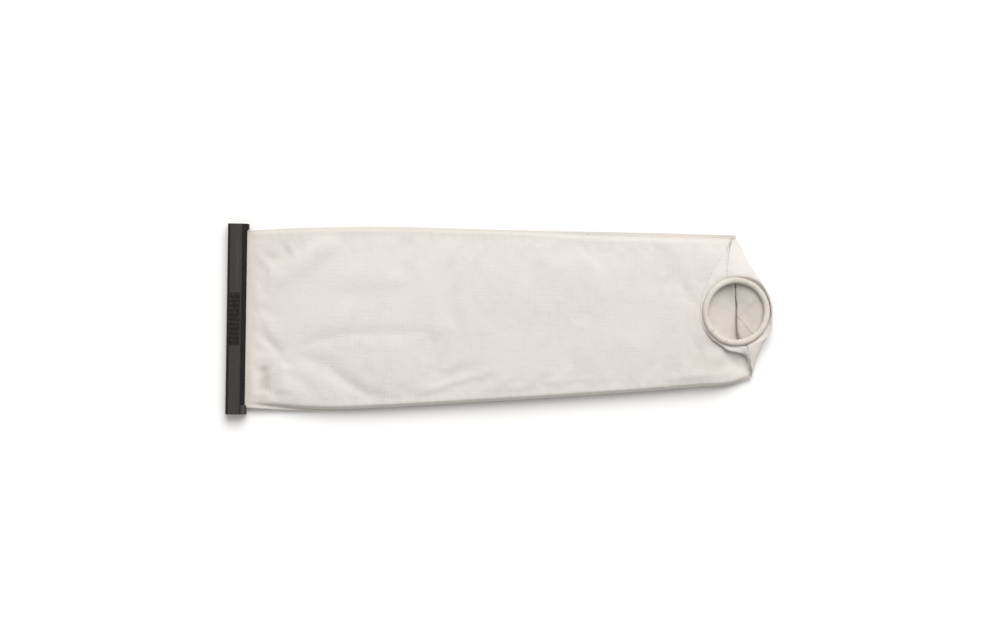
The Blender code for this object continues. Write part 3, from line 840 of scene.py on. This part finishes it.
def side_stitches(name, far):
    """Side seam: on top of the flange where it shows, and on its edge where the cloth rolls over it."""
    u = np.linspace(0.012, 0.98, 240)
    near_end, far_end = edge_points(u)
    width = np.linalg.norm(far_end - near_end, axis=-1)
    shown = smooth((along(FAR_FLANGE if far else NEAR_FLANGE, u) - 1.7) / 0.9)
    inset = mix(0.25, 1.9, shown) / width
    path = panel_place(u, 1.0 - inset if far else inset, True)
    path[:, 2] += mix(-LAYER_STEP / 2, CLOTH / 2 + 0.04, shown)
    outward = 1.0 if far else -1.0
    facing = np.stack([0 * u, outward * (1.0 - shown), 0.1 + shown], -1)
    piece = stitch_row(name, path, facing, radius=0.2, seed=2 if far else 3)
    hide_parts(name.replace("stitches", "thread"))
    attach(piece, "bag")
    return piece


# ---- Throat and collar ----


def ring_frame(angle):
    """Outward direction, middle of the bead and ring normal at an angle round the collar."""
    angle = np.asarray(angle, float)[..., None]
    along_x = np.array((math.cos(RING_TIP), 0.0, -math.sin(RING_TIP)))
    normal = np.array((math.sin(RING_TIP), 0.0, math.cos(RING_TIP)))
    outward = along_x * np.cos(angle) + np.array((0.0, 1.0, 0.0)) * np.sin(angle)
    return outward, RING_CENTRE + outward * RING_RADIUS, normal


def hem_mouth(angle):
    """Direction, seen in the bead's section, in which the cloth leaves the hem."""
    return np.radians(-75.0 + 40.0 * np.cos(angle))


def on_bead(angle, turn, radius):
    outward, middle, normal = ring_frame(angle)
    turn, radius = np.asarray(turn)[..., None], np.asarray(radius)[..., None]
    return middle + outward * radius * np.cos(turn) + normal * radius * np.sin(turn)


# Lines of the throat cloth over the bag's end: share of the way from the near to the far shoulder seam,
# then the four points it passes between the panel's end and the bead.
TOP_LINES = (
    (0.0, 184.4, -33.6, 6.8, 182.6, -28.6, 9.8, 181.6, -22.4, 11.8, 179.8, -15.8, 13.0),
    (0.06, 183.2, -28.2, 6.6, 182.0, -25.2, 9.6, 180.6, -20.8, 12.2, 178.4, -15.0, 13.4),
    (0.1, 181.2, -23.8, 6.8, 179.6, -21.6, 9.8, 177.4, -18.6, 12.6, 175.4, -14.6, 13.6),
    (0.15, 177.4, -19.6, 8.2, 175.4, -19.2, 11.2, 172.0, -18.0, 13.9, 170.4, -15.0, 14.0),
    (0.2, 173.6, -15.8, 8.8, 170.6, -17.4, 12.0, 166.4, -17.0, 14.4, 165.4, -13.8, 14.2),
    (0.25, 170.8, -11.6, 8.2, 166.8, -14.0, 12.4, 161.8, -14.6, 14.6, 161.0, -11.6, 14.5),
    (0.35, 168.0, -2.4, 7.4, 159.6, -3.6, 13.0, 152.4, -7.4, 15.6, 153.6, -6.2, 15.6),
    (0.5, 166.4, 13.0, 6.6, 154.6, 8.8, 12.6, 145.4, 5.2, 15.8, 147.5, 4.4, 16.0),
    (0.7, 165.0, 33.6, 9.2, 154.6, 29.4, 12.6, 146.4, 23.2, 15.7, 147.4, 20.2, 16.2),
    (0.8, 163.6, 44.2, 10.8, 155.2, 38.4, 13.7, 149.2, 30.4, 15.8, 150.0, 26.2, 16.4),
    (0.9, 164.6, 55.0, 9.2, 158.2, 47.4, 13.2, 154.2, 39.2, 15.4, 156.2, 33.0, 16.6),
    (1.0, 168.4, 63.4, 6.6, 165.8, 57.6, 10.4, 165.0, 48.6, 13.8, 165.0, 37.1, 16.6),
)
UNDER_LINES = (
    (0.0, 184.5, -33.4, 6.6, 182.7, -28.4, 9.6, 181.7, -22.2, 11.6, 179.9, -15.6, 12.8),
    (0.05, 186.8, -30.4, 4.4, 186.4, -26.0, 8.2, 184.8, -20.2, 11.6, 181.8, -14.0, 13.2),
    (0.12, 185.0, -23.6, 4.2, 190.6, -18.4, 6.4, 191.0, -13.8, 10.4, 187.6, -10.8, 13.2),
    (0.2, 177.8, -14.0, 7.4, 188.8, -10.4, 9.2, 196.6, -6.4, 9.8, 195.6, -5.6, 12.8),
    (0.35, 173.9, -0.2, 7.0, 187.4, 3.4, 9.2, 196.4, 5.6, 9.6, 197.2, 5.9, 12.8),
    (0.5, 173.1, 15.2, 7.0, 185.6, 16.2, 9.4, 195.0, 17.8, 9.9, 196.2, 18.7, 13.2),
    (0.65, 172.0, 30.8, 9.6, 183.6, 31.0, 10.2, 189.8, 30.8, 11.8, 190.6, 29.8, 14.5),
    (0.8, 173.4, 45.4, 8.6, 183.4, 43.4, 10.8, 184.2, 39.6, 13.8, 182.3, 35.3, 15.9),
    (0.92, 175.4, 57.0, 5.0, 176.0, 51.8, 9.2, 174.6, 45.0, 13.6, 172.4, 37.1, 16.6),
    (1.0, 168.5, 63.4, 6.4, 165.9, 57.4, 10.2, 165.1, 48.6, 13.6, 165.1, 37.3, 16.4),
)

# How far the cloth rises at the fold over the bag's end, where the mouth's two walls nearly meet.
LIP_RISE = (
    (0.0, 0.0),
    (0.1, 0.7),
    (0.2, 1.8),
    (0.5, 3.4),
    (0.68, 6.5),
    (0.85, 1.8),
    (0.92, 0.3),
    (1.0, 0.0),
)

# The dart in the wall of the mouth, seen inside the ring.
DART = ((172.9, 8.9), (178.0, 3.0), (183.8, -3.8))

# Outline of the mouth end as it lies: y, then the furthest x of the cloth.
OUTLINE = (
    (-44.0, 180.0),
    (-38.0, 182.6),
    (-34.9, 183.8),
    (-29.1, 185.5),
    (-23.2, 187.0),
    (-17.3, 189.0),
    (-11.5, 191.4),
    (-5.6, 195.2),
    (0.2, 198.2),
    (6.0, 199.0),
    (11.8, 198.5),
    (17.6, 197.3),
    (23.4, 195.3),
    (29.2, 192.0),
    (34.9, 188.0),
    (40.6, 183.0),
    (46.4, 180.2),
    (52.1, 177.3),
    (57.9, 174.8),
    (63.7, 172.0),
    (70.0, 168.6),
)


def within_outline(place):
    """Turns cloth back softly where it would stand out past the outline."""
    room = along(OUTLINE, place[..., 1]) - 0.4 - place[..., 0]
    held = place.copy()
    held[..., 0] += room - np.logaddexp(0.0, room / 0.7) * 0.7
    return held


def through(points, t):
    """Smooth curves through evenly shared points, read at every t. Close points don't make them loop."""
    spans = np.diff(points, axis=-2)
    long = np.linalg.norm(spans, axis=-1)
    between = (spans[..., 1:, :] + spans[..., :-1, :]) / 2
    rises = np.concatenate([spans[..., :1, :], between, spans[..., -1:, :]], -2)
    shorter = np.minimum(long[..., 1:], long[..., :-1])
    most = 1.3 * np.concatenate([long[..., :1], shorter, long[..., -1:]], -1)
    rises = rises * np.minimum(1.0, most / np.maximum(np.linalg.norm(rises, axis=-1), 1e-9))[..., None]
    last = points.shape[-2] - 1
    k = np.clip((t * last).astype(int), 0, last - 1)
    f = (t * last - k)[..., None]

    def pick(values, number):
        return np.take_along_axis(values, number[..., None, None], axis=-2)[..., 0, :]

    read = (2 * f**3 - 3 * f**2 + 1) * pick(points, k) + (f**3 - 2 * f**2 + f) * pick(rises, k)
    return read + (3 * f**2 - 2 * f**3) * pick(points, k + 1) + (f**3 - f**2) * pick(rises, k + 1)


def throat_place(s, t, upper):
    """Middle surface of a throat piece, s from the near to the far seam, t from bag to collar."""
    s, t = np.broadcast_arrays(np.asarray(s, float), np.asarray(t, float))
    start = panel_place(1.0, s, upper) + (0.5, 0.0, 0.2 if upper else 0.0)
    lines = along(TOP_LINES if upper else UNDER_LINES, s).reshape(*s.shape, 4, 3)
    inner = smooth(np.minimum(s, 1 - s) / 0.12)[..., None]
    lip = mix(start, lines[..., 0, :], 0.3 + 0.2 * inner)
    if upper:
        lip = mix(lip, start + np.stack([-1.1 + 0 * s, 0 * s, along(LIP_RISE, s)], -1), inner)
    if upper:
        angle = mix(NEAR_SEAM + 2 * math.pi - SEAM_GAP, FAR_SEAM + SEAM_GAP, s)
    else:
        angle = mix(NEAR_SEAM + SEAM_GAP, FAR_SEAM - SEAM_GAP, s)
    end = on_bead(angle, hem_mouth(angle), BEAD - 0.1)
    tucked = on_bead(angle, hem_mouth(angle), 3.2 + 0.1 * np.cos(angle))
    stops = [start, lip, *np.moveaxis(lines, -2, 0), tucked, end]
    place = through(np.stack(stops, -2), t)
    if upper:
        pleat = np.exp(-(((s - 0.035) / 0.02) ** 2)) * smooth((t - 0.12) / 0.3) * smooth((0.95 - t) / 0.25)
        place[..., 2] -= 1.6 * pleat
    return within_outline(place)


def make_throat(name, upper):
    s = 0.5 - 0.5 * np.cos(np.linspace(0.0, math.pi, 200))
    t = np.linspace(0.0, 1.0, 84)
    middle = throat_place(s[:, None], t[None, :], upper)
    x, y = middle[..., 0], middle[..., 1]
    facing = normals_of(middle)
    loose = np.sin(math.pi * t)[None, :] ** 0.7 * np.sin(math.pi * s)[:, None] ** 0.5
    crumple = 0.35 * waves(x, y, 16.0, 21 if upper else 22) + 0.12 * waves(x, y, 7.0, 23)
    if not upper:
        apart, side_of_dart, share = to_line(x, y, DART)
        inner = smooth(share / 0.1) * smooth((0.55 - t[None, :]) / 0.05)
        ridge, step = np.exp(-((apart / 0.8) ** 2)), smooth((side_of_dart * apart + 0.6) / 1.2)
        crumple = crumple + inner * (0.3 * ridge + 0.45 * step)
    middle = middle + facing * (crumple * loose)[..., None]
    lie = flat_place(middle)
    piece = cloth_piece(name, middle, THROAT_CLOTH, canvas, lie)
    # Outer face: darker towards the collar. Inner face: painted shade inside the mouth, deeper towards the
    # bag's end.
    outside = 0.15 * smooth((t[None, :] - 0.8) / 0.2) + 0 * s[:, None]
    inside = 0.5 + 0.3 * (1 - smooth(t[None, :] / 0.2)) + 0 * s[:, None]
    # A painted shade line along one side of the dart's ridge.
    if not upper:
        inside = inside + 0.9 * inner * np.exp(-(((side_of_dart * apart + 1.2) / 0.6) ** 2))
    # The top piece has its second face out of the bag, and the under piece its first.
    if upper:
        paint_soil_and_shade(piece, inside, outside)
    else:
        paint_soil_and_shade(piece, outside, inside)
    side = np.minimum(s, 1.0 - s)[:, None]
    begin = END_LIFT * smooth(side * 2 / 0.5) if upper else 0.0
    weights = mix(begin, 1.0, smooth(t[None, :] * 1.15 - 0.05)) + 0 * s[:, None]
    return piece, np.concatenate([weights.ravel()] * 2), area_of(middle)


def shoulder_stitches(name, s):
    t = np.linspace(0.08, 0.92, 40)
    left, right = throat_place(s, t, True), throat_place(s, t, False)
    path = (left + right) / 2
    path[:, 0] = left[:, 0] - 1.3
    path[:, 2] = np.maximum(left[:, 2], right[:, 2]) + THROAT_CLOTH / 2 + 0.15
    facing = np.tile((-0.2, 0.0, 1.0), (len(t), 1))
    piece = stitch_row(name, path, facing, length=2.0, gap=0.7, radius=0.25, seed=7)
    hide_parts(name.replace("stitches", "thread"))
    places = np.array([v.co for v in piece.data.vertices]) / MM
    near = np.argmin(np.linalg.norm(places[:, None] - path[None], axis=-1), axis=1)
    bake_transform(piece, "bag", "collar", tuple(path[0] * MM), tuple(path[-1] * MM))
    weigh(piece, smooth(t[near] * 1.15 - 0.05))
    return piece


def make_ring_hem():
    """The casing rolled round the elastic, gathered a little, with its overlapped join."""
    steps, outer, inner = 360, 28, 12
    angle = HEM_JOIN + np.linspace(0.0, 2 * math.pi, steps, endpoint=False)[:, None]
    start = hem_mouth(angle) + HEM_OPEN
    sweep = 2 * math.pi - 2 * HEM_OPEN
    turn_out = start + sweep * np.linspace(0.0, 1.0, outer)[None, :]
    turn_in = start + sweep * np.linspace(1.0, 0.0, inner)[None, :]
    gather = np.sin(angle * 46 + turn_out * 1.6) * 0.5 + np.sin(angle * 71 - turn_out * 2.2 + 1.0) * 0.35
    uneven = np.sin(angle * 5 + 1.2) * 0.4 + np.sin(angle * 9 + turn_out) * 0.3
    join = (angle - HEM_JOIN + math.pi) % (2 * math.pi) - math.pi
    bump = 0.5 * smooth((join + 0.2) / 0.15) * smooth((0.012 - join) / 0.024)
    bump = bump + 0.12 * np.exp(-(((join - 0.09) / 0.05) ** 2))
    radius_out = BEAD + 0.05 * gather + 0.07 * uneven + bump * (0.5 + 0.5 * np.cos(turn_out - 1.6))
    ring_out = on_bead(angle + 0 * turn_out, turn_out, radius_out)
    ring_in = on_bead(angle + 0 * turn_in, turn_in, np.full_like(turn_in, BEAD_INSIDE))
    grid = np.concatenate([ring_out, ring_in], 1)
    wide = outer + inner
    faces = []
    for i in range(steps):
        for j in range(wide):
            a, b, k = i * wide, ((i + 1) % steps) * wide, (j + 1) % wide
            faces.append((a + j, b + j, b + k, a + k))
    mean = np.concatenate([turn_out + 0 * angle, turn_in + 0 * angle], 1)
    lie = np.stack([angle * RING_RADIUS + 0 * mean, mean * BEAD, 0 * mean], -1)
    piece = new_piece("ring_hem", grid.reshape(-1, 3), faces, casing, lie.reshape(-1, 3))
    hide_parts("collar_hem")
    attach(piece, "collar")
    return piece


def hem_stitches():
    angle = np.linspace(0.0, 2 * math.pi, 240)
    path = on_bead(angle, np.full_like(angle, math.radians(-165.0)), np.full_like(angle, BEAD + 0.12))
    facing = path - ring_frame(angle)[1]
    piece = stitch_row("hem_stitches", path, facing, length=2.2, gap=0.8, radius=0.24, seed=9)
    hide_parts("hem_thread")
    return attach(piece, "collar")


def rail_stitches(name, node):
    low, high = box_mm(node)
    middle = (low + high) / 2
    y = np.linspace(low[1], high[1], 120)
    path = np.stack([np.full_like(y, middle[0]), y, np.full_like(y, middle[2])], -1)
    up = 1.0 if "upper" in name else -1.0
    piece = stitch_row(name, path, np.tile((0.0, 0.0, up), (len(y), 1)), radius=0.25, seed=12)
    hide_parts(node)
    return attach(piece, "bag")


# ---- Stage ----


def seen_directly(look):
    """1 for what the camera sees directly, reflected or through something, and 0 for light on its way."""
    path = look.node("ShaderNodeLightPath")
    return path["Is Camera Ray"].or_more(path["Is Glossy Ray"]).or_more(path["Is Transmission Ray"])


def make_floor():
    look = Look(bpy.data.materials.new("white ground"))
    flat, bright = (
        look.node("ShaderNodeBsdfDiffuse", {}, {"Color": full(colour)})["BSDF"]
        for colour in ((0.8, 0.8, 0.795), (0.985, 0.985, 0.98))
    )
    glow_sockets = {"Color": full((1.0, 1.0, 0.995)), "Strength": 0.08}
    glow = look.node("ShaderNodeEmission", {}, glow_sockets)["Emission"]
    shown = look.node("ShaderNodeAddShader", {}, {0: bright, 1: glow})["Shader"]
    sockets = {"Fac": seen_directly(look), 1: flat, 2: shown}
    surface = look.node("ShaderNodeMixShader", {}, sockets)["Shader"]
    look.node("ShaderNodeOutputMaterial", {}, {"Surface": surface})
    side = 3.0
    corners = [(-side, -side, 0), (side, -side, 0), (side, side, 0), (-side, side, 0)]
    mesh = bpy.data.meshes.new("ground")
    mesh.from_pydata(corners, [], [(0, 1, 2, 3)])
    mesh.materials.append(look.owner)
    ground = bpy.data.objects.new("ground", mesh)
    bpy.context.scene.collection.objects.link(ground)


def make_world():
    world = bpy.data.worlds.new("studio")
    bpy.context.scene.world = world
    look = Look(world)
    warm, white = (
        look.node("ShaderNodeBackground", {}, {"Color": full(colour), "Strength": strength})["Background"]
        for colour, strength in (((1.0, 0.985, 0.965), 0.36), ((1.0, 1.0, 1.0), 1.0))
    )
    sockets = {"Fac": seen_directly(look), 1: warm, 2: white}
    surface = look.node("ShaderNodeMixShader", {}, sockets)["Shader"]
    look.node("ShaderNodeOutputWorld", {}, {"Surface": surface})


def soft_lamp(name, towards, strength, spread):
    """A large soft source far away, in the direction given, so that the whole bag is lit alike."""
    data = bpy.data.lights.new(name, "SUN")
    data.energy = strength
    data.angle = math.radians(spread)
    data.color = (1.0, 0.992, 0.98)
    lamp = bpy.data.objects.new(name, data)
    lamp.rotation_euler = Vector(towards).to_track_quat("Z", "Y").to_euler()
    bpy.context.scene.collection.objects.link(lamp)


def make_camera():
    data = bpy.data.cameras.new("camera")
    data.sensor_width = 36.0
    height, bag_height, shown_width = 2.4, 0.01, 0.727
    data.lens = data.sensor_width * (height - bag_height) / shown_width
    data.clip_start, data.clip_end = 0.1, 20.0
    camera = bpy.data.objects.new("camera", data)
    camera.location = (-0.0004, 0.0062, height)
    camera.rotation_euler = (0.0, 0.0, math.radians(0.875))
    bpy.context.scene.collection.objects.link(camera)
    bpy.context.scene.camera = camera


# ---- Make it ----

bpy.context.scene.view_settings.view_transform = "Standard"
make_camera()
make_world()
make_floor()
soft_lamp("window_light", (0.22, 0.93, 1.25), 2.55, 46.0)

canvas = canvas_look("cotton canvas", (0.80, 0.768, 0.728), (0.70, 0.664, 0.618))
casing = hem_look()
sewing_thread = thread_look()

for name, finish in (
    ("slider", slider_look()),
    ("upper_rail", rail_look()),
    ("lower_rail", rail_look()),
    ("ring_core", elastic_look()),
):
    nodes[name].data.materials.clear()
    nodes[name].data.materials.append(finish)

upper_cloth, upper_weights = make_panel("upper_cloth", True)
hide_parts("upper_panel")
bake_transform(upper_cloth, "bag", "collar", (0.1, 0.0, 0.0), (0.1935, 0.0, 0.0))
weigh(upper_cloth, upper_weights)

lower_cloth, _ = make_panel("lower_cloth", False)
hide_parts("lower_panel")
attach(lower_cloth, "bag")

throat_top, top_weights, top_area = make_throat("throat_top_cloth", True)
throat_under, under_weights, under_area = make_throat("throat_under_cloth", False)
for piece, weights, node in (
    (throat_top, top_weights, "throat_upper"),
    (throat_under, under_weights, "throat_lower"),
):
    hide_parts(node)
    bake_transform(piece, "bag", "collar", (0.15, 0.0, 0.0), (0.19, 0.0, 0.0))
    weigh(piece, weights)

make_ring_hem()
side_stitches("far_side_stitches", True)
side_stitches("near_side_stitches", False)
shoulder_stitches("far_shoulder_stitches", 1.0)
shoulder_stitches("near_shoulder_stitches", 0.0)
hem_stitches()
rail_stitches("upper_rail_stitches", "upper_rail_thread")
rail_stitches("lower_rail_stitches", "lower_rail_thread")
